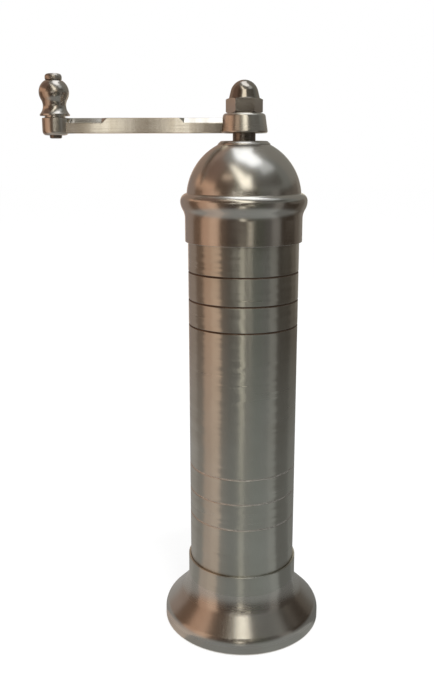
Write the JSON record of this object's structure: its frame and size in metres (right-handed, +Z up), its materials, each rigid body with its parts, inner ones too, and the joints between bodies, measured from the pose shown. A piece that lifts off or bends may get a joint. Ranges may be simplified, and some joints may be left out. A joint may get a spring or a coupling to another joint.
{
  "type": "pepper mill",
  "caption": "Hand-cranked pepper mill: grooved metal tube on a bell foot, slip-on dome, side crank with a turned knob, and an adjustable conical burr set inside.",
  "frame": {"origin": "centre of the foot's resting face, on the mill's axis", "axes": "+Z up along the mill's axis, and the crank points along -X in the pose that the picture shows"},
  "size_m": [0.0961, 0.0572, 0.1959],
  "materials": {
    "brushed_nickel": "nickel-plated brass, brushed round on the lathe",
    "satin_nickel": "nickel-plated turned brass, satin",
    "polished_nickel": "nickel-plated turned brass, polished",
    "cast_nickel": "nickel-plated cast brass, lightly brushed along its length",
    "shaft_steel": "bright drawn steel, darkened by use",
    "burr_steel": "hardened and oil-blacked steel with bright tooth edges",
    "plain_steel": "zinc-plated steel",
    "spring_steel": "drawn spring wire",
    "bare_brass": "bare turned brass"
  },
  "bodies": {
    "mill_body": {"body_tube": "brushed_nickel", "base_foot": "brushed_nickel", "stator_burr": "burr_steel", "burr_bridge": "plain_steel", "bridge_screws": "plain_steel", "adjuster_spring": "spring_steel"},
    "dome": {"dome_cap": "satin_nickel", "dome_bush": "bare_brass"},
    "thrust": {"thrust_ball": "plain_steel"},
    "drive": {"drive_shaft": "shaft_steel", "rotor_burr": "burr_steel", "rotor_washer": "plain_steel", "rotor_nut": "plain_steel"},
    "adjuster": {"adjusting_screw": "plain_steel", "thumb_wheel": "bare_brass"},
    "crank": {"crank_arm": "cast_nickel", "knob_rivet": "shaft_steel"},
    "knob": {"knob": "polished_nickel"},
    "nut": {"acorn_nut": "polished_nickel"}
  },
  "joints": [
    {"name": "grind_adjust", "type": "slide", "parent": "mill_body", "child": "thrust", "axis": [0, 0, 1], "range_m": [-0.0006, 0.0004], "deforming": ["adjuster_spring"]},
    {"name": "adjuster_turn", "type": "hinge", "parent": "thrust", "child": "adjuster", "pos_m": [0, 0, 0.01], "axis": [0, 0, 1], "range_deg": [-218, 146]},
    {"name": "crank_turn", "type": "hinge", "parent": "thrust", "child": "drive", "pos_m": [0, 0, 0.016], "axis": [0, 0, 1], "continuous": true},
    {"name": "dome_lift", "type": "slide", "parent": "mill_body", "child": "dome", "axis": [0, 0, 1], "range_m": [0, 0.06]},
    {"name": "crank_lift", "type": "slide", "parent": "drive", "child": "crank", "axis": [0, 0, 1], "range_m": [0, 0.06]},
    {"name": "nut_lift", "type": "slide", "parent": "crank", "child": "nut", "axis": [0, 0, 1], "range_m": [0, 0.02]},
    {"name": "knob_spin", "type": "hinge", "parent": "crank", "child": "knob", "pos_m": [-0.0625, 0, 0.188], "axis": [0, 0, 1], "continuous": true}
  ],
  "couplings": [
    {"joint": "adjuster_turn", "follows": "grind_adjust", "rad_per_m": 6283.2},
    {"joint": "crank_lift", "follows": "dome_lift", "ratio": 1}
  ]
}
